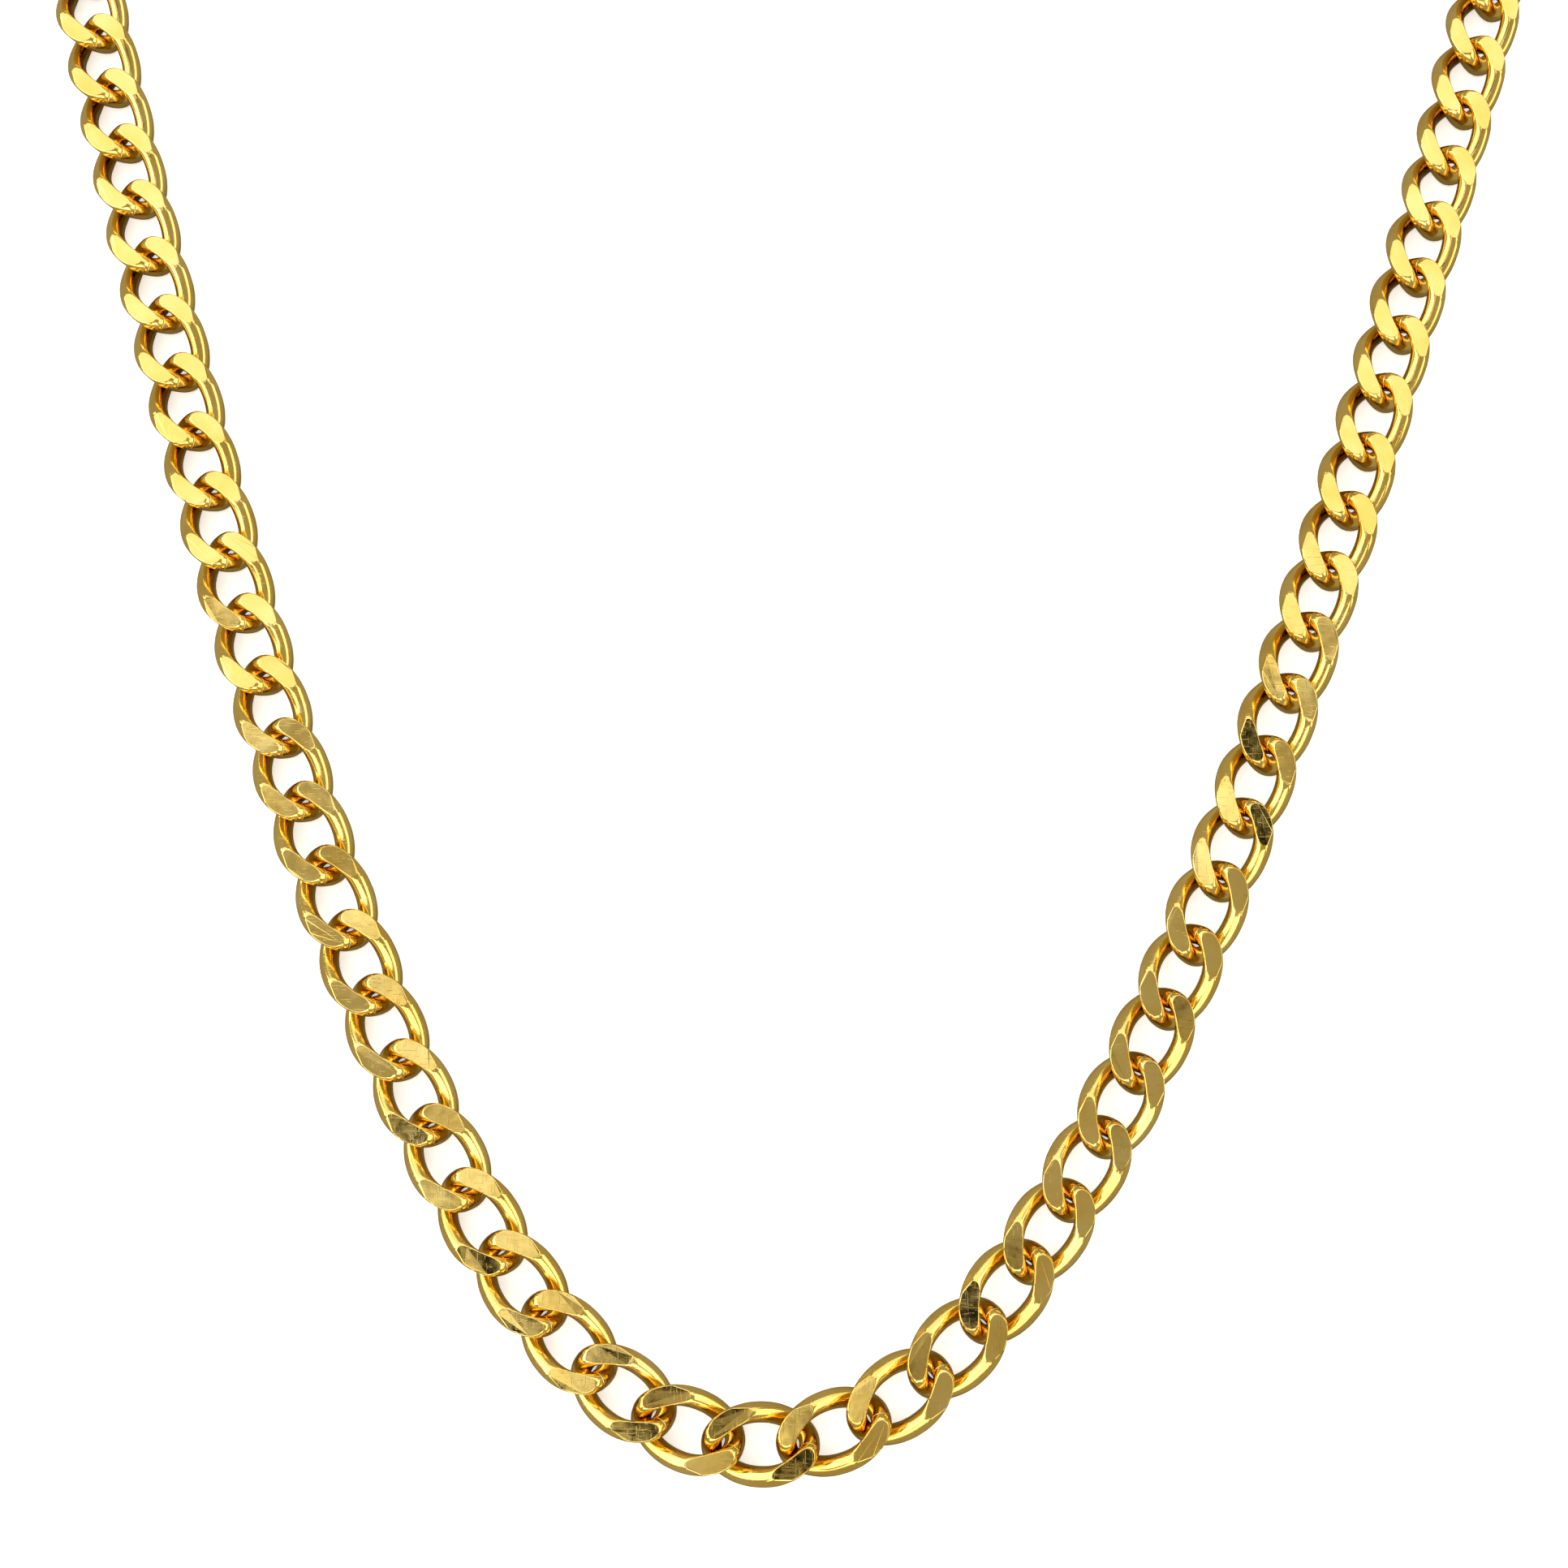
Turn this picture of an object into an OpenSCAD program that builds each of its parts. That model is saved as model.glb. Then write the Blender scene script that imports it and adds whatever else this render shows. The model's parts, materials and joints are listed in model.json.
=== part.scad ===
// Curb chain necklace, unfastened and laid flat in a U, with a lobster clasp.
// Millimetres. +Z is up from the table, +Y runs from the bottom of the U to its open ends,
// and the origin is on the table under the middle of the whole piece.

/* [Link] */
// Width of a link, across the chain
link_w = 6; // [5.8:0.1:6.6]
// Length of a link, along the chain
link_l = 8.6; // [8.4:0.1:9.2]
// Diameter of the wire that the links are bent from
wire_d = 1.5; // [1.3:0.05:1.55]
// Turn of each end of a link out of the plane of the chain, in degrees
twist = 45; // [42:1:50]
// Thickness of the chain between the faces cut on its front and its back
cut_t = 2.4; // [2.3:0.05:2.7]
// Squareness of a link's outline, where 2 is an ellipse
squareness = 2.5; // [2.3:0.1:2.8]
// Gap between the ends of two neighbouring links
nose_gap = 0.15; // [0.1:0.05:0.3]

/* [Layout] */
// Angle from level that the strands straighten out to, in degrees
strand_angle = 78.5; // [74:0.5:82]
// Number of links in which a strand turns halfway to that angle
turn_links = 2.35; // [2.2:0.05:4]

/* [Rings] */
// Outer diameter of the ring that the clasp hooks into
catch_ring_d = 6.2; // [6:0.1:6.3]
// Outer diameter of the ring between the chain and the clasp
claw_ring_d = 5.6; // [5.4:0.1:6]
// Diameter of the wire of both rings
ring_wire_d = 0.9; // [0.8:0.05:0.9]
// Lean of both rings from level, in degrees
ring_lean = 18; // [17:0.5:18.5]
// Gap between a ring's wire and the link that it hangs on
ring_gap = 0.2; // [0.15:0.05:0.3]

/* [Clasp] */
// Thickness of the clasp's body
claw_t = 2.8; // [2.8:0.1:3.2]
// Length of the body from its eye's centre to the centre of its round end
claw_l = 9.8; // [9.6:0.1:10.4]
// Radius of the body's round end
claw_end_r = 3.7; // [3.6:0.1:4]
// Radius of the body beside the eye
claw_heel_r = 2.2; // [2.2:0.1:2.4]
// Width of the metal round the clasp's opening
claw_wall = 1.5; // [1.4:0.1:1.6]
// Diameter of the pin that the lever turns on
pin_d = 0.8; // [0.7:0.05:0.9]

/* [Hidden] */
// The chain has link 0 at the bottom of the U, then these links up each strand.
// The first of them have a node each, and the rest share a node two by two.
strand_links = 43;
single_links = 9;
pairs = (strand_links - single_links) / 2;
sides = ["left", "right"];

wire_r = wire_d / 2;
loop_a = link_l / 2 - wire_r;
loop_b = link_w / 2 - wire_r;
pitch = link_l - 2 * wire_d - nose_gap;
link_z = cut_t / 2;

// Rings of points along a link's wire, and points in each ring.
wire_rings = 16;
wire_points = 8;

// A ring's middle lies level with the mean of the chain's and the clasp's.
claw_z = claw_t / 2;
ring_z = (link_z + claw_z) / 2;
smooth = 48;
over = 1;

// The clasp, from its eye's centre. Angles are about the lever's pin, from the clasp's long axis.
// The lever's arm lies between arm_angles, and the way cut for its swing between way_angles.
eye_wire_r = 0.35;
eye_r = claw_t / 2 - eye_wire_r;
heel_x = 3;
pin_at = [3.3, -0.3];
pin_r = pin_d / 2;
pin_fit = 0.03;
opening_low_x = 6.6;
opening_low_r = 1.1;
slot_t = 1.4;
slot_r = 1.85;
lever_fit = 0.1;
hub_r = 1.15;
arm_t = 2.4;
arm_r = [2.1, 7.3];
arm_angles = [-70, -6];
way_angles = [-115, 18];
tab_r = 0.8;
tab_at = [5.1, -2.9];
spring_r = 1.5;
spring_wire_r = 0.12;
spring_from = 60;
spring_turn = 180;
spring_leg_l = 1.8;
spring_hole_r = 0.15;

function two(n) = str(n < 10 ? "0" : "", n);
function single_name(side, n) = str(side, "_link_", two(n));
function first_of_pair(k) = single_links + 1 + 2 * k;
function pair_name(side, k) =
    str(side, "_links_", two(first_of_pair(k)), "_", two(first_of_pair(k) + 1));

// ---- The U: the heading and the centre of each link, counted from the bottom ----

function along(angle) = [cos(angle), sin(angle)];
function heading(n) = strand_angle * atan(n / turn_links) / 90;
function step_to(n) = pitch / 2 * (along(heading(n - 1)) + along(heading(n)));
centres = [for (n = 0, p = [0, 0]; n <= strand_links; n = n + 1, p = p + step_to(n)) p];

// ---- A link: a wire loop, twisted at both ends and cut flat front and back ----

function power(v, e) = sign(v) * pow(abs(v), e);
function lean_at(x) = -twist * x / loop_a;
function loop_at(t) =
    let (x = loop_a * power(cos(t), 2 / squareness), y = loop_b * power(sin(t), 2 / squareness))
    [x, y * cos(lean_at(x)), y * sin(lean_at(x))];
function unit(v) = v / norm(v);
function tangent_at(t) = unit(loop_at(t + 1) - loop_at(t - 1));
function clamp_to(v, limit) = max(-limit, min(limit, v));

// A ring of points round the wire, kept between the front and the back cuts.
function wire_ring(t) =
    let (
        middle = loop_at(t),
        forward = tangent_at(t),
        face = [0, -sin(lean_at(middle.x)), cos(lean_at(middle.x))],
        up = unit(face - (face * forward) * forward),
        out = cross(forward, up)
    )
    [for (k = [0:wire_points - 1])
        let (u = 360 * k / wire_points, p = middle + wire_r * (cos(u) * out + sin(u) * up))
        [p.x, p.y, clamp_to(p.z, cut_t / 2)]];

function point_no(j, k) = (j % wire_rings) * wire_points + k % wire_points;

link_points = [for (j = [0:wire_rings - 1]) each wire_ring(360 * j / wire_rings)];
link_faces = [for (j = [0:wire_rings - 1]) for (k = [0:wire_points - 1]) each [
    [point_no(j, k), point_no(j, k + 1), point_no(j + 1, k + 1)],
    [point_no(j, k), point_no(j + 1, k + 1), point_no(j + 1, k)]
]];

// ---- Where things lie ----

// Along a strand's last link, from its centre: the middles of the rings, and the clasp's eye.
catch_r = (catch_ring_d - ring_wire_d) / 2;
claw_ring_r = (claw_ring_d - ring_wire_d) / 2;
ring_from_x = loop_a - wire_r - ring_wire_d / 2 - ring_gap;
catch_x = ring_from_x + catch_r;
claw_ring_x = ring_from_x + claw_ring_r;
eye_x = claw_ring_x + claw_ring_r;

// The whole piece reaches this far each way from the bottom link's centre.
last = centres[strand_links];
end_way = along(heading(strand_links));
ring_axis_x = sin(ring_lean) * end_way.y;
right_reach = last.x + catch_x * end_way.x
    + catch_r * sqrt(1 - ring_axis_x * ring_axis_x) + ring_wire_d / 2;
left_reach = last.x + (eye_x + claw_l) * end_way.x + claw_end_r;
top_reach = last.y + (eye_x + claw_l) * end_way.y + claw_end_r;
bottom_reach = max([for (p = link_points) p.y]);
shift = [(left_reach - right_reach) / 2, (bottom_reach - top_reach) / 2];

// Puts its children at link n of a strand. Local +X runs outwards along the strand.
module at_link(side, n) {
    sideways = side == "left" ? -1 : 1;
    turn = side == "left" ? 180 - heading(n) : heading(n);
    translate([shift.x + sideways * centres[n].x, shift.y + centres[n].y, 0])
        rotate([0, 0, turn])
            children();
}

// ---- Sub-parts ----

module link(side, n) {
    color("gold")
        at_link(side, n)
            translate([0, 0, link_z])
                polyhedron(link_points, link_faces);
}

module link_pair(side, k) {
    link(side, first_of_pair(k));
    link(side, first_of_pair(k) + 1);
}

module hoop(r, thickness) {
    rotate_extrude($fn = smooth)
        translate([r, 0])
            circle(d = thickness, $fn = smooth / 2);
}

module catch_ring() {
    color("gold")
        at_link("right", strand_links)
            translate([catch_x, 0, ring_z])
                rotate([ring_lean, 0, 0])
                    hoop(catch_r, ring_wire_d);
}

module claw_ring() {
    color("gold")
        at_link("left", strand_links)
            translate([claw_ring_x, 0, ring_z])
                rotate([ring_lean, 0, 0])
                    hoop(claw_ring_r, ring_wire_d);
}

// Puts its children at the clasp's eye, with +X towards the clasp's round end.
module at_claw() {
    at_link("left", strand_links)
        translate([eye_x, 0, claw_z])
            children();
}

// A flat shape of two circles on the X axis and the band that wraps them both.
module taper(x1, r1, x2, r2) {
    slope = asin((r2 - r1) / (x2 - x1));
    edge = [-sin(slope), cos(slope)];
    translate([x1, 0])
        circle(r1, $fn = smooth);
    translate([x2, 0])
        circle(r2, $fn = smooth);
    polygon([
        [x1, 0] + r1 * edge,
        [x2, 0] + r2 * edge,
        [x2 + r2 * edge.x, -r2 * edge.y],
        [x1 + r1 * edge.x, -r1 * edge.y]
    ]);
}

module claw_outline() {
    difference() {
        taper(heel_x, claw_heel_r, claw_l, claw_end_r);
        taper(opening_low_x, opening_low_r, claw_l, claw_end_r - claw_wall);
    }
}

// The part of a ring about the pin between two angles less than a half turn apart.
module about_pin(inner_r, outer_r, angles) {
    far = 2 * outer_r;
    middle = (angles[0] + angles[1]) / 2;
    translate(pin_at)
        difference() {
            intersection() {
                circle(outer_r, $fn = 2 * smooth);
                polygon([
                    [0, 0], far * along(angles[0]), far * along(middle), far * along(angles[1])
                ]);
            }
            if (inner_r > 0)
                circle(inner_r, $fn = smooth);
        }
}

module plate(thickness) {
    linear_extrude(thickness, center = true)
        children();
}

module pin_hole(r) {
    translate([pin_at.x, pin_at.y, 0])
        cylinder(r = r, h = claw_t + over, center = true, $fn = smooth);
}

module claw_body() {
    color("goldenrod")
        at_claw()
            difference() {
                union() {
                    plate(claw_t)
                        claw_outline();
                    rotate([90, 0, 0])
                        hoop(eye_r, 2 * eye_wire_r);
                }
                // The way of the lever's arm, and the slot for its hub
                plate(claw_t + over)
                    about_pin(arm_r[0] - lever_fit, arm_r[1] + lever_fit, way_angles);
                plate(slot_t) {
                    translate(pin_at)
                        circle(slot_r, $fn = smooth);
                    about_pin(0, arm_r[0], way_angles);
                }
                pin_hole(pin_r);
                at_spring_leg()
                    cylinder(r = spring_hole_r, h = claw_t + over, center = true, $fn = smooth);
            }
}

module claw_lever() {
    color("goldenrod")
        at_claw()
            difference() {
                union() {
                    plate(arm_t)
                        intersection() {
                            claw_outline();
                            about_pin(arm_r[0], arm_r[1], arm_angles);
                        }
                    plate(slot_t - 2 * lever_fit) {
                        translate(pin_at)
                            circle(hub_r, $fn = smooth);
                        about_pin(0, arm_r[0] + lever_fit, arm_angles);
                    }
                    translate([tab_at.x, tab_at.y, 0])
                        cylinder(r = tab_r, h = arm_t, center = true, $fn = smooth);
                }
                pin_hole(pin_r + pin_fit);
            }
}

module lever_pin() {
    color("gold")
        at_claw()
            translate([pin_at.x, pin_at.y, 0])
                cylinder(r = pin_r, h = claw_t, center = true, $fn = smooth);
}

module at_spring_leg() {
    translate([pin_at.x, pin_at.y, 0])
        rotate([0, 0, spring_from])
            translate([spring_r, 0, 0])
                children();
}

// A torsion spring: a wire bent round the hub, with one leg held in the clasp's cheeks.
module lever_spring() {
    color("silver")
        at_claw() {
            translate([pin_at.x, pin_at.y, 0])
                rotate([0, 0, spring_from])
                    rotate_extrude(angle = spring_turn, $fn = smooth)
                        translate([spring_r, 0])
                            circle(spring_wire_r, $fn = smooth / 2);
            at_spring_leg()
                cylinder(r = spring_wire_r, h = spring_leg_l, center = true, $fn = smooth / 2);
        }
}

link("right", 0);  // bottom_link
for (side = sides) for (n = [1:single_links])
    link(side, n);
for (side = sides) for (k = [0:pairs - 1])
    link_pair(side, k);
catch_ring();
claw_ring();
claw_body();
claw_lever();
lever_pin();
lever_spring();
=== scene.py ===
import json
import math
import random

import bmesh
import bpy
import numpy as np
from mathutils import Matrix, Quaternion, Vector


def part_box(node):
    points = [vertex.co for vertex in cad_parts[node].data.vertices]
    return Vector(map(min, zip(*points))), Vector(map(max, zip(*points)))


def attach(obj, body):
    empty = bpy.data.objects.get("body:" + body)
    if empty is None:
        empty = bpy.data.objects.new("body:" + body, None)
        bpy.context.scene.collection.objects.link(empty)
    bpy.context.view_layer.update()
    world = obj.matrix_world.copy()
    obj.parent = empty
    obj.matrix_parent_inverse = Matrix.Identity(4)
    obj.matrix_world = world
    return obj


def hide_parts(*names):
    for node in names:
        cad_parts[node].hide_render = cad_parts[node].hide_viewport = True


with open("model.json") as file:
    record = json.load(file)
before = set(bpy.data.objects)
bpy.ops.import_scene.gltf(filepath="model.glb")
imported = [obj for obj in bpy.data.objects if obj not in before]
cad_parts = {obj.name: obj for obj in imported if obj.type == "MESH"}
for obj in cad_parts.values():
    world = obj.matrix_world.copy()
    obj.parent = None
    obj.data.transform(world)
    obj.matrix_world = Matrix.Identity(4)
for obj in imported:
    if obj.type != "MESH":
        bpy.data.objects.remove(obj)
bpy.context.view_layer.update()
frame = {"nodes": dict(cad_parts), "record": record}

MM = 0.001
WELD = 1e-7
rng = random.Random(20)

# ---- Sizes of a link, in millimetres, as in the CAD model ----
LINK_L, LINK_W, WIRE_D = 8.6, 6.0, 1.5
TWIST, SQUARENESS, CUT_T = math.radians(45), 2.5, 2.4
WIRE_R = WIRE_D / 2
LOOP_A, LOOP_B = LINK_L / 2 - WIRE_R, LINK_W / 2 - WIRE_R
RINGS, AROUND = 88, 28
FINE_STEPS = 4001
NUDGE = 1e-4
# The flats lean outwards a little, and each a little its own way, as they are cut by hand
FACET_TILT = math.radians(2.6)
FACET_OUT = math.radians(1.5)
FACET_ALONG, FACET_ACROSS = 2.1, 1.35
EDGE_LEAN, EDGE_DEPTH = math.radians(46), 0.11
RIM_W, RIM_DROP = 0.05, 0.022


# ---------------------------------------------------------------- helpers
def show(name, mesh):
    """A new object with this mesh, in the scene."""
    obj = bpy.data.objects.new(name, mesh)
    bpy.context.scene.collection.objects.link(obj)
    return obj


def welded(mesh):
    """A bmesh copy of a mesh, with its doubled corners joined."""
    bm = bmesh.new()
    bm.from_mesh(mesh)
    bmesh.ops.remove_doubles(bm, verts=bm.verts, dist=WELD)
    return bm


def finish_piece(obj, body, nodes):
    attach(obj, body)
    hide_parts(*nodes)


# ---------------------------------------------------------------- materials
def node_tree(name):
    """A new material with its node tree and its shader."""
    m = bpy.data.materials.new(name)
    m.use_nodes = True
    nt = m.node_tree
    bsdf = nt.nodes["Principled BSDF"]
    return m, nt, bsdf


def add(nt, kind, **inputs):
    """A new node with these inputs set. An underscore stands for a space."""
    n = nt.nodes.new(kind)
    for k, v in inputs.items():
        n.inputs[k.replace("_", " ")].default_value = v
    return n


def ramp(nt, source, stops):
    """A colour ramp on a grey value, from (position, colour) stops."""
    r = nt.nodes.new("ShaderNodeValToRGB")
    els = r.color_ramp.elements
    while len(els) < len(stops):
        els.new(0.5)
    for e, (pos, col) in zip(els, stops):
        e.position = pos
        e.color = (*col, 1)
    nt.links.new(source, r.inputs["Fac"])
    return r


def noise(nt, place, scale, detail, roughness):
    n = add(nt, "ShaderNodeTexNoise", Scale=scale, Detail=detail, Roughness=roughness)
    nt.links.new(place, n.inputs["Vector"])
    return n.outputs["Fac"]


def hairlines(nt, place):
    """Noise stretched in two directions, of which only the crests are cut."""
    cuts = []
    for turn, stretch in ((0.6, (9000.0, 700.0, 9000.0)), (-0.9, (700.0, 9000.0, 9000.0))):
        mapping = nt.nodes.new("ShaderNodeMapping")
        mapping.inputs["Rotation"].default_value = (0.3, 0.2, turn)
        mapping.inputs["Scale"].default_value = stretch
        nt.links.new(place, mapping.inputs["Vector"])
        hair = add(nt, "ShaderNodeTexNoise", Scale=1.0, Detail=2.0)
        nt.links.new(mapping.outputs["Vector"], hair.inputs["Vector"])
        cut = ramp(nt, hair.outputs["Fac"], [(0.62, (1, 1, 1)), (0.70, (0, 0, 0))])
        cuts.append(cut.outputs["Color"])
    both = nt.nodes.new("ShaderNodeMix")
    both.data_type = "RGBA"
    both.blend_type = "MULTIPLY"
    both.inputs["Factor"].default_value = 1.0
    nt.links.new(cuts[0], both.inputs["A"])
    nt.links.new(cuts[1], both.inputs["B"])
    return both.outputs["Result"]


def bump(nt, height, strength, depth):
    """A bump node on a height, with its depth in millimetres."""
    b = add(nt, "ShaderNodeBump", Strength=strength, Distance=depth * MM)
    nt.links.new(height, b.inputs["Height"])
    return b


def gold(name, dark, mid, light, rough_low, rough_high, scratch=0.5):
    """Polished metal: slow colour drift, cloudy polish, a slight ripple and hairline scratches."""
    m, nt, bsdf = node_tree(name)
    link = nt.links.new
    place = nt.nodes.new("ShaderNodeTexCoord").outputs["Object"]

    drift = noise(nt, place, 260.0, 3.0, 0.55)
    colour = ramp(nt, drift, [(0.30, dark), (0.5, mid), (0.72, light)])
    link(colour.outputs["Color"], bsdf.inputs["Base Color"])

    polish = nt.nodes.new("ShaderNodeMapRange")
    polish.inputs["From Min"].default_value = 0.35
    polish.inputs["From Max"].default_value = 0.75
    polish.inputs["To Min"].default_value = rough_low
    polish.inputs["To Max"].default_value = rough_high
    link(noise(nt, place, 900.0, 4.0, 0.6), polish.inputs["Value"])
    link(polish.outputs["Result"], bsdf.inputs["Roughness"])

    ripple = bump(nt, noise(nt, place, 520.0, 2.0, 0.5), 0.5, 0.025)
    scratches = bump(nt, hairlines(nt, place), scratch, 0.004)
    link(ripple.outputs["Normal"], scratches.inputs["Normal"])
    link(scratches.outputs["Normal"], bsdf.inputs["Normal"])
    bsdf.inputs["Metallic"].default_value = 1.0
    return m


GOLD_WIRE = gold(
    "polished_gold", (0.87, 0.60, 0.15), (0.93, 0.675, 0.20), (0.97, 0.745, 0.27),
    0.07, 0.16,
)
GOLD_FACET = gold(
    "cut_gold", (0.89, 0.62, 0.16), (0.94, 0.69, 0.22), (0.97, 0.755, 0.29),
    0.08, 0.18, 0.3,
)
GOLD_CLASP = gold(
    "cast_gold", (0.85, 0.59, 0.15), (0.92, 0.665, 0.20), (0.96, 0.73, 0.26),
    0.10, 0.2,
)
SOLDER = gold(
    "solder_line", (0.55, 0.30, 0.07), (0.66, 0.38, 0.10), (0.76, 0.46, 0.13),
    0.2, 0.35,
)
STEEL = gold(
    "spring_wire", (0.42, 0.42, 0.43), (0.52, 0.52, 0.54), (0.62, 0.62, 0.64),
    0.2, 0.35,
)


# ---------------------------------------------------------------- one link
def power(v, e):
    """A power that keeps the sign."""
    return np.sign(v) * np.abs(v) ** e


def loop_at(t):
    """The wire's centre line: a squarish oval, twisted more towards its ends."""
    x = LOOP_A * power(np.cos(t), 2 / SQUARENESS)
    y = LOOP_B * power(np.sin(t), 2 / SQUARENESS)
    lean = -TWIST * x / LOOP_A
    return np.stack([x, y * np.cos(lean), y * np.sin(lean)], -1)


def even_angles(path, count, start=0.0):
    """Angles at which a closed path is cut into pieces of one length."""
    fine = start + np.linspace(0, 2 * np.pi, FINE_STEPS)
    p = path(fine)
    s = np.concatenate([[0], np.cumsum(np.linalg.norm(np.diff(p, axis=0), axis=1))])
    return np.interp(np.linspace(0, s[-1], count + 1)[:-1], s, fine)


# A solder joint is a shallow groove. Its rings stand at these multiples of its half width, and the
# two inner ones are sunk.
SEAM_AT = math.radians(-9)
SEAM_HALF = 0.02
SEAM_DEPTH = 0.012
SEAM_RINGS = np.array([-3, -1, -0.3, 0.3, 1, 3])
SEAM_SUNK = slice(2, 4)


def sweep(path, faces_up, radius_at, angles, around):
    """Vertices and quads of a closed tube along a path, with its first point on the outside."""
    c = path(angles)
    fwd = path(angles + NUDGE) - path(angles - NUDGE)
    fwd /= np.linalg.norm(fwd, axis=1)[:, None]
    up = faces_up(c)
    up -= (up * fwd).sum(1)[:, None] * fwd
    up /= np.linalg.norm(up, axis=1)[:, None]
    out = np.cross(fwd, up)
    u = 2 * np.pi * np.arange(around) / around
    ring = np.cos(u)[None, :, None] * out[:, None] + np.sin(u)[None, :, None] * up[:, None]
    verts = c[:, None] + radius_at[:, None, None] * ring
    n = len(angles)
    faces = [
        (j * around + k, ((j + 1) % n) * around + k,
         ((j + 1) % n) * around + (k + 1) % around, j * around + (k + 1) % around)
        for j in range(n) for k in range(around)
    ]
    return verts.reshape(-1, 3), faces


def link_tube():
    """The uncut wire loop, with the fine groove of its solder joint near one end."""
    t = even_angles(loop_at, RINGS, SEAM_AT)
    step = 1e-3
    d = SEAM_HALF / (np.linalg.norm(loop_at(t[:1] + step) - loop_at(t[:1])) / step)
    t = np.concatenate([SEAM_AT + d * SEAM_RINGS, t[1:]])
    r = np.full(len(t), WIRE_R)
    r[SEAM_SUNK] -= SEAM_DEPTH

    def faces_up(c):
        lean = -TWIST * c[:, 0] / LOOP_A
        return np.stack([0 * lean, -np.sin(lean), np.cos(lean)], -1)

    return sweep(loop_at, faces_up, r, t, AROUND)


TUBE_VERTS, TUBE_FACES = link_tube()
LOOP_POINTS = loop_at(np.linspace(0, 2 * np.pi, 721))
SEAM_FACES = range(2 * AROUND, 3 * AROUND)


def cut_flat(bm, side, point, normal):
    """Cuts one end of a link, its +X or -X half as side says, back to a plane, and polishes the rim."""
    faces = [f for f in bm.faces if f.calc_center_median().x * side > 0]
    # Dicts and not sets, because a set of mesh elements has another order on each run
    verts = dict.fromkeys(v for f in faces for v in f.verts)
    edges = dict.fromkeys(e for f in faces for e in f.edges)
    geom = [*verts, *edges, *faces]
    out = bmesh.ops.bisect_plane(
        bm, geom=geom, plane_co=point, plane_no=normal, clear_outer=True, dist=NUDGE
    )
    edges = [g for g in out["geom_cut"] if isinstance(g, bmesh.types.BMEdge) and g.is_boundary]
    if not edges:
        return
    for f in bmesh.ops.edgeloop_fill(bm, edges=edges)["faces"]:
        f.smooth = False
        f.material_index = 1
        rim = bmesh.ops.inset_region(bm, faces=[f], thickness=RIM_W, depth=0.0)["faces"]
        for v in {v for q in rim for v in q.verts} - set(f.verts):
            v.co -= normal * RIM_DROP
        for q in rim:
            q.smooth = True
            q.material_index = 0


def cut_facets(bm):
    """The flats at a link's ends, front and back, each with a narrower flat on its outer edge."""
    for side in (1, -1):
        for level in (1, -1):
            across = -side * level
            lean = rng.uniform(-FACET_TILT, FACET_TILT) if level > 0 else 0
            tip = rng.uniform(-FACET_TILT, FACET_TILT) if level > 0 else 0
            normal = Vector((math.sin(tip), math.sin(lean) + across * FACET_OUT, level)).normalized()
            point = Vector((side * FACET_ALONG, across * FACET_ACROSS, level * CUT_T / 2))
            cut_flat(bm, side, point, normal)
            edge = Vector((0, across * math.sin(EDGE_LEAN), level * math.cos(EDGE_LEAN)))
            reach = (LOOP_POINTS @ np.array(edge))[LOOP_POINTS[:, 0] * side > 0].max()
            cut_flat(bm, side, edge * (reach + WIRE_R - EDGE_DEPTH), edge)


def link_mesh(name):
    """One link about its own centre, in millimetres."""
    bm = bmesh.new()
    verts = [bm.verts.new(v) for v in TUBE_VERTS]
    for i, f in enumerate(TUBE_FACES):
        face = bm.faces.new([verts[k] for k in f])
        face.smooth = True
        face.material_index = 2 if i in SEAM_FACES else 0
    bmesh.ops.recalc_face_normals(bm, faces=bm.faces)
    cut_facets(bm)
    mesh = bpy.data.meshes.new(name)
    bm.to_mesh(mesh)
    bm.free()
    for m in (GOLD_WIRE, GOLD_FACET, SOLDER):
        mesh.materials.append(m)
    return mesh


def solids_of(obj):
    """The separate solids in a CAD node, each as an array of its corner points."""
    bm = welded(obj.data)
    seen, solids = set(), []
    for v in bm.verts:
        if v in seen:
            continue
        group, todo = [], [v]
        seen.add(v)
        while todo:
            w = todo.pop()
            group.append(w.co[:])
            for e in w.link_edges:
                x = e.other_vert(w)
                if x not in seen:
                    seen.add(x)
                    todo.append(x)
        solids.append(np.array(group))
    bm.free()
    return solids


def lie_of(points):
    """Centre and heading of a link from its points. It is the same turned half round."""
    centre = points.mean(0)
    d = points[:, :2] - centre[:2]
    cxx, cyy, cxy = (d[:, 0] ** 2).mean(), (d[:, 1] ** 2).mean(), (d[:, 0] * d[:, 1]).mean()
    return centre, 0.5 * math.atan2(2 * cxy, cxx - cyy)


def build_chain():
    """A fine link in the place of each coarse one of the frame's link nodes."""
    body_of_node = {n: b for b, ns in frame["record"]["behaviour"]["bodies"].items() for n in ns}
    for node in sorted(n for n in frame["nodes"] if "link" in n):
        strand = node.split("_link")[0]
        numbers = [p for p in node.split("_") if p.isdigit()] or ["00"]
        solids = solids_of(frame["nodes"][node])
        solids.sort(key=lambda p: p[:, 1].mean())
        for number, points in zip(numbers, solids):
            centre, heading = lie_of(points)
            name = f"{strand}_curb_link_{number}"
            mesh = link_mesh(name)
            place = Matrix.Translation(centre) @ Matrix.Rotation(heading, 4, "Z") @ Matrix.Scale(MM, 4)
            mesh.transform(place)
            finish_piece(show(name, mesh), body_of_node[node], [node])


build_chain()


# ---------------------------------------------------------------- rings and clasp
RING_SEAM_AT = 0.9


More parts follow.
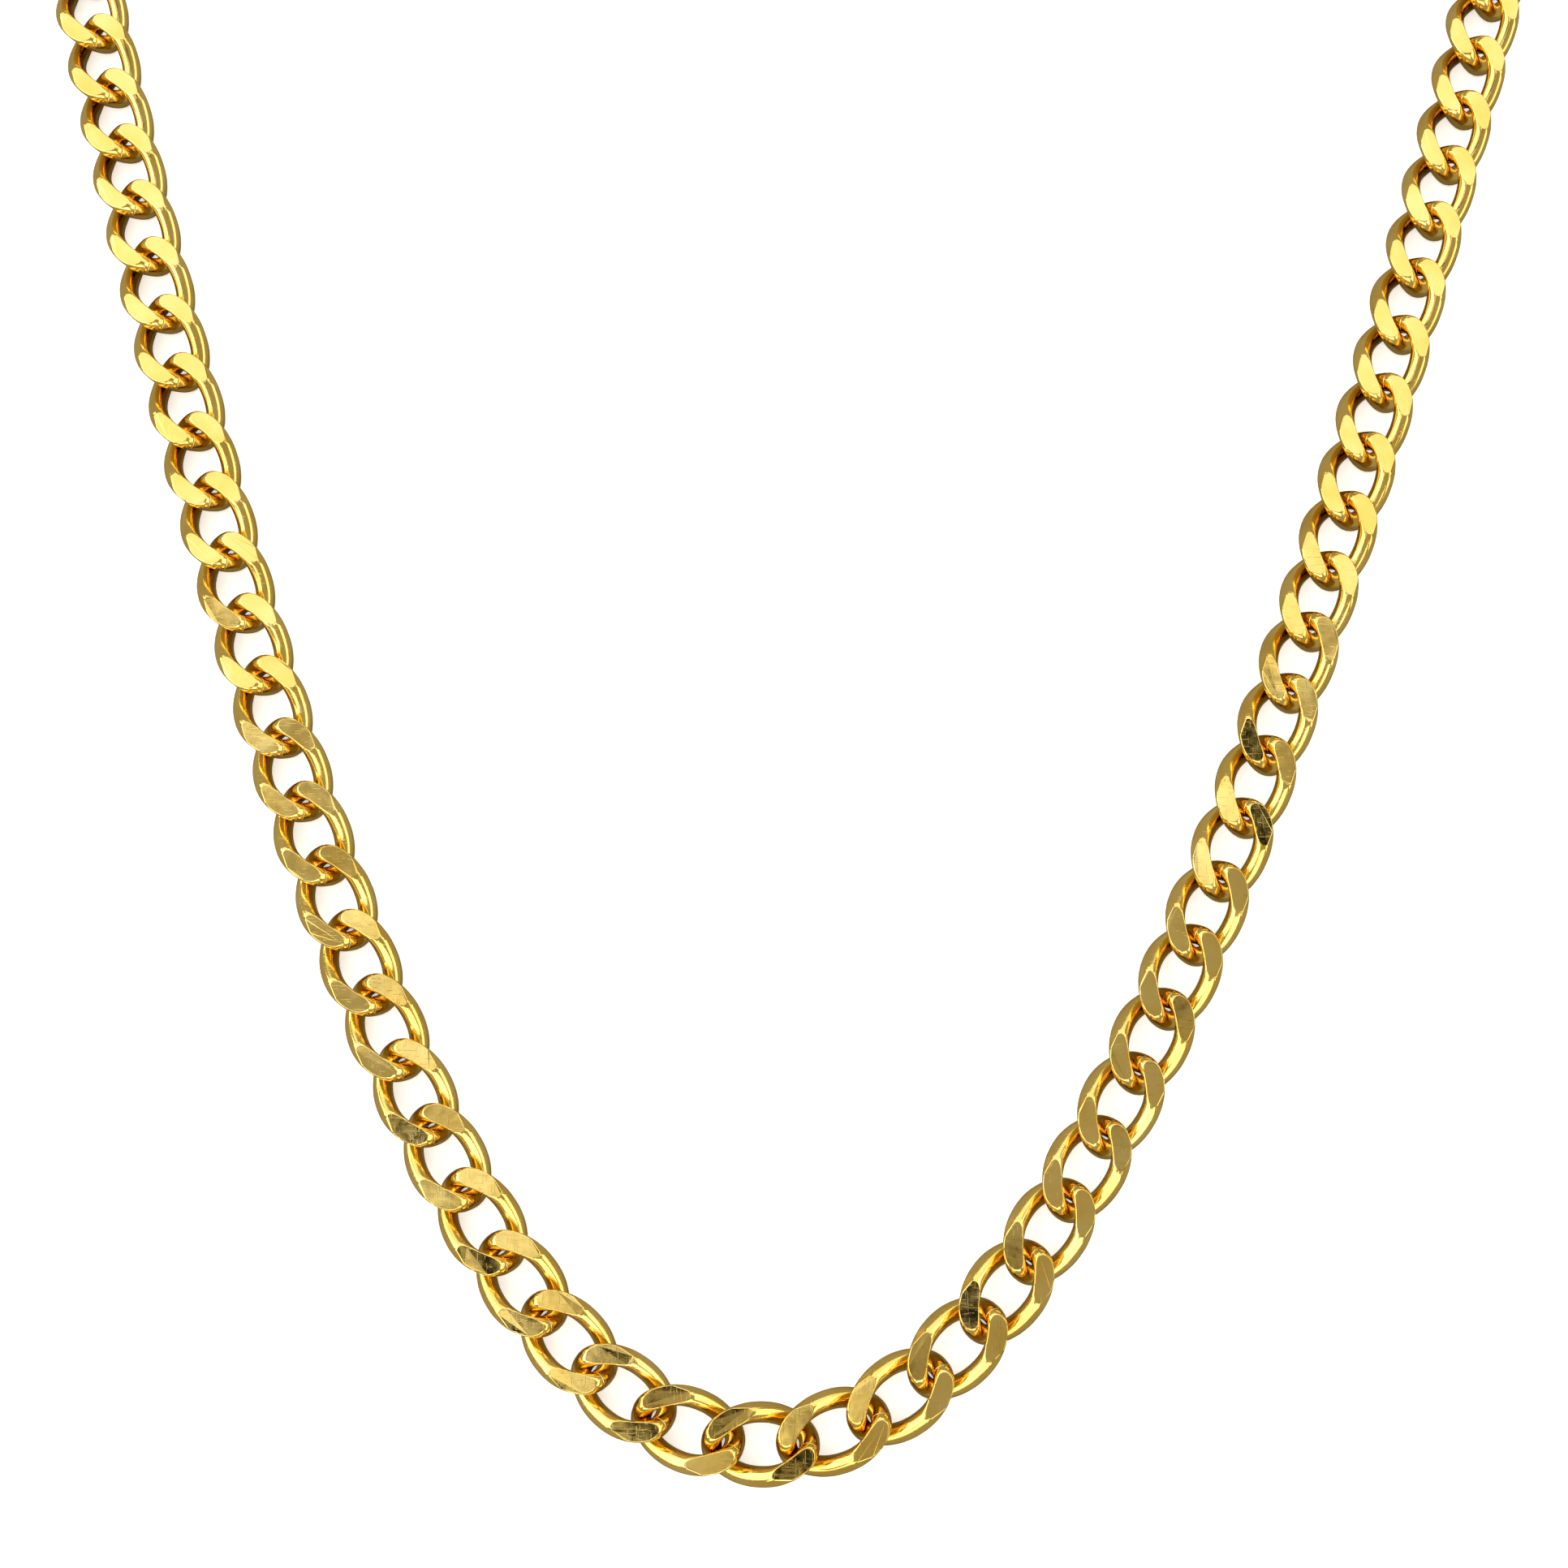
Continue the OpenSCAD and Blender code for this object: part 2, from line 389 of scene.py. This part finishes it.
def ring_from(node, name, body):
    """A smooth ring with a solder line in place of a CAD ring."""
    pts = solids_of(frame["nodes"][node])[0]
    centre = pts.mean(0)
    d = pts - centre
    _, axes = np.linalg.eigh(d.T @ d)
    axis = axes[:, 0]
    side = axes[:, 2]
    third = np.cross(axis, side)
    flat = np.hypot(d @ side, d @ third)
    wire = (flat.max() - flat.min()) / 2
    radius = (flat.max() + flat.min()) / 2

    def path(t):
        return centre + radius * (np.cos(t)[:, None] * side + np.sin(t)[:, None] * third)

    t = np.concatenate([
        RING_SEAM_AT + SEAM_HALF * MM / radius * SEAM_RINGS,
        RING_SEAM_AT + 2 * np.pi * np.arange(1, RINGS) / RINGS,
    ])
    r = np.full(len(t), wire)
    r[SEAM_SUNK] -= SEAM_DEPTH * MM
    verts, faces = sweep(path, lambda c: np.tile(axis, (len(c), 1)), r, t, AROUND)
    mesh = bpy.data.meshes.new(name)
    mesh.from_pydata(verts.tolist(), [], faces)
    for p in mesh.polygons:
        p.use_smooth = True
        p.material_index = 1 if p.index in SEAM_FACES else 0
    mesh.materials.append(GOLD_WIRE)
    mesh.materials.append(SOLDER)
    bm = bmesh.new()
    bm.from_mesh(mesh)
    bmesh.ops.recalc_face_normals(bm, faces=bm.faces)
    bm.to_mesh(mesh)
    bm.free()
    finish_piece(show(name, mesh), body, [node])


def cast_from(node, name, body, voxel, rounds, material):
    """A soft-edged casting: the CAD solid, remeshed finely and with its edges polished round."""
    mesh = bpy.data.meshes.new(name)
    bm = welded(frame["nodes"][node].data)
    bm.to_mesh(mesh)
    bm.free()
    obj = show(name, mesh)
    rm = obj.modifiers.new("remesh", "REMESH")
    rm.mode = "VOXEL"
    rm.voxel_size = voxel * MM
    rm.use_smooth_shade = True
    sm = obj.modifiers.new("polish", "SMOOTH")
    sm.factor = 0.5
    sm.iterations = rounds
    dg = bpy.context.evaluated_depsgraph_get()
    done = bpy.data.meshes.new_from_object(obj.evaluated_get(dg), depsgraph=dg)
    obj.modifiers.clear()
    obj.data = done
    done.materials.clear()
    done.materials.append(material)
    for p in done.polygons:
        p.use_smooth = True
    finish_piece(obj, body, [node])


ring_from("catch_ring", "catch_ring_wire", "catch_ring")
ring_from("claw_ring", "claw_ring_wire", "claw_ring")
cast_from("claw_body", "claw_casting", "claw", 0.07, 20, GOLD_CLASP)
cast_from("claw_lever", "claw_gate", "claw_lever", 0.06, 18, GOLD_CLASP)
for node, mat in (("lever_pin", GOLD_CLASP), ("lever_spring", STEEL)):
    data = frame["nodes"][node].data
    data.materials.clear()
    data.materials.append(mat)


# ---------------------------------------------------------------- studio
FLOOR_SIZE = 2.4
PAPER_GLOW = 0.42
PAPER_IN_METAL = (0.36, 0.34, 0.30)
ROOM_TINT, ROOM_STRENGTH = (1.0, 0.95, 0.84), 0.36
BACKDROP_STRENGTH = 1.1


def flat_square(name, size):
    bm = bmesh.new()
    bmesh.ops.create_grid(bm, x_segments=1, y_segments=1, size=size / 2)
    mesh = bpy.data.meshes.new(name)
    bm.to_mesh(mesh)
    bm.free()
    return mesh


def for_camera(nt, seen, reflected, surface):
    """Shows one shader to the camera and another one to all other rays."""
    path = nt.nodes.new("ShaderNodeLightPath")
    mix = nt.nodes.new("ShaderNodeMixShader")
    nt.links.new(path.outputs["Is Camera Ray"], mix.inputs["Fac"])
    nt.links.new(reflected, mix.inputs[1])
    nt.links.new(seen, mix.inputs[2])
    nt.links.new(mix.outputs["Shader"], surface)


def build_floor():
    """White paper, of which the metal reflects a greyer sheet, as beside a real set."""
    mesh = flat_square("floor", FLOOR_SIZE)
    m, nt, bsdf = node_tree("floor_paper")
    bsdf.inputs["Base Color"].default_value = (1.0, 1.0, 1.0, 1)
    bsdf.inputs["Roughness"].default_value = 0.9
    bsdf.inputs["Emission Color"].default_value = (1, 1, 1, 1)
    bsdf.inputs["Emission Strength"].default_value = PAPER_GLOW
    grey = nt.nodes.new("ShaderNodeBsdfDiffuse")
    grey.inputs["Color"].default_value = (*PAPER_IN_METAL, 1)
    surface = nt.nodes["Material Output"].inputs["Surface"]
    for_camera(nt, bsdf.outputs["BSDF"], grey.outputs["BSDF"], surface)
    mesh.materials.append(m)
    show("floor", mesh)


def build_world():
    """A dim warm room in reflections, and a white backdrop beyond the paper for the camera."""
    w = bpy.data.worlds.new("studio")
    bpy.context.scene.world = w
    w.use_nodes = True
    nt = w.node_tree
    room = nt.nodes["Background"]
    room.inputs["Color"].default_value = (*ROOM_TINT, 1)
    room.inputs["Strength"].default_value = ROOM_STRENGTH
    backdrop = nt.nodes.new("ShaderNodeBackground")
    backdrop.inputs["Color"].default_value = (1.0, 1.0, 1.0, 1)
    backdrop.inputs["Strength"].default_value = BACKDROP_STRENGTH
    surface = nt.nodes["World Output"].inputs["Surface"]
    for_camera(nt, backdrop.outputs["Background"], room.outputs["Background"], surface)


def card(name, azimuth, elevation, away, width, height, strength, roll):
    """A softbox or, with no strength, a black card. The camera doesn't see it. Azimuth 0 is the
    far side, +Y, and 90 the right, +X. Roll turns the card in its own plane."""
    az, el = math.radians(azimuth), math.radians(elevation)
    way = Vector((math.cos(el) * math.sin(az), math.cos(el) * math.cos(az), math.sin(el)))
    obj = show(name, flat_square(name, 1.0))
    obj.scale = (width, height, 1)
    obj.location = AIM + way * away
    facing = way.to_track_quat("Z", "Y") @ Quaternion((0, 0, 1), math.radians(roll))
    obj.rotation_euler = facing.to_euler()
    m = bpy.data.materials.new(name)
    m.use_nodes = True
    nt = m.node_tree
    nt.nodes.clear()
    glow = nt.nodes.new("ShaderNodeEmission")
    glow.inputs["Color"].default_value = (1, 1, 1, 1)
    glow.inputs["Strength"].default_value = strength
    out = nt.nodes.new("ShaderNodeOutputMaterial")
    nt.links.new(glow.outputs["Emission"], out.inputs["Surface"])
    obj.data.materials.append(m)
    obj.visible_camera = False


# Each card's azimuth, elevation, distance, width, height, strength and roll. The black cards are
# placed where the flats mirror them: on the lower left, at the bottom and on the right strand.
CARDS = (
    ("softbox_far", 0, 52, 0.70, 1.30, 0.62, 1.1, 0),
    ("softbox_left", -90, 38, 0.70, 0.90, 0.56, 2.0, 0),
    ("softbox_right", 90, 32, 0.75, 0.80, 0.34, 1.4, 0),
    ("softbox_near", 180, 40, 0.80, 1.00, 0.44, 1.7, 0),
    ("softbox_overhead", -108, 77, 0.80, 0.28, 0.37, 0.95, 0),
    ("black_card_left", -108, 76, 0.50, 0.045, 0.18, 0.0, -61),
    ("black_card_right", 45, 70, 0.50, 0.07, 0.08, 0.0, 0),
    ("black_card_overhead", 157, 84, 0.50, 0.06, 0.06, 0.0, 0),
)

# The camera looks down on the bottom of the U from the near side, turned a little to the right.
CAMERA_ELEVATION = math.radians(75.6)
CAMERA_TURN = math.radians(0.87)
CAMERA_AWAY = 0.1697
CAMERA_LENS = 50.0
AIM_FROM_BOTTOM_LINK = Vector((0.00095, 0.0493, 0.0))
bottom_low, bottom_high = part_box("bottom_link")
AIM = (bottom_low + bottom_high) / 2 + AIM_FROM_BOTTOM_LINK


def build_camera():
    cam = bpy.data.cameras.new("camera")
    obj = bpy.data.objects.new("camera", cam)
    bpy.context.scene.collection.objects.link(obj)
    level = math.cos(CAMERA_ELEVATION)
    back = Vector((
        level * math.sin(CAMERA_TURN), -level * math.cos(CAMERA_TURN), math.sin(CAMERA_ELEVATION)
    ))
    obj.location = AIM + back * CAMERA_AWAY
    obj.rotation_euler = back.to_track_quat("Z", "Y").to_euler()
    cam.lens = CAMERA_LENS
    cam.sensor_width = 36.0
    cam.clip_start = 0.01
    cam.clip_end = 20
    bpy.context.scene.camera = obj


build_floor()
build_world()
build_camera()
for setting in CARDS:
    card(*setting)

scene = bpy.context.scene
scene.view_settings.view_transform = "Standard"
scene.view_settings.look = "Medium High Contrast"
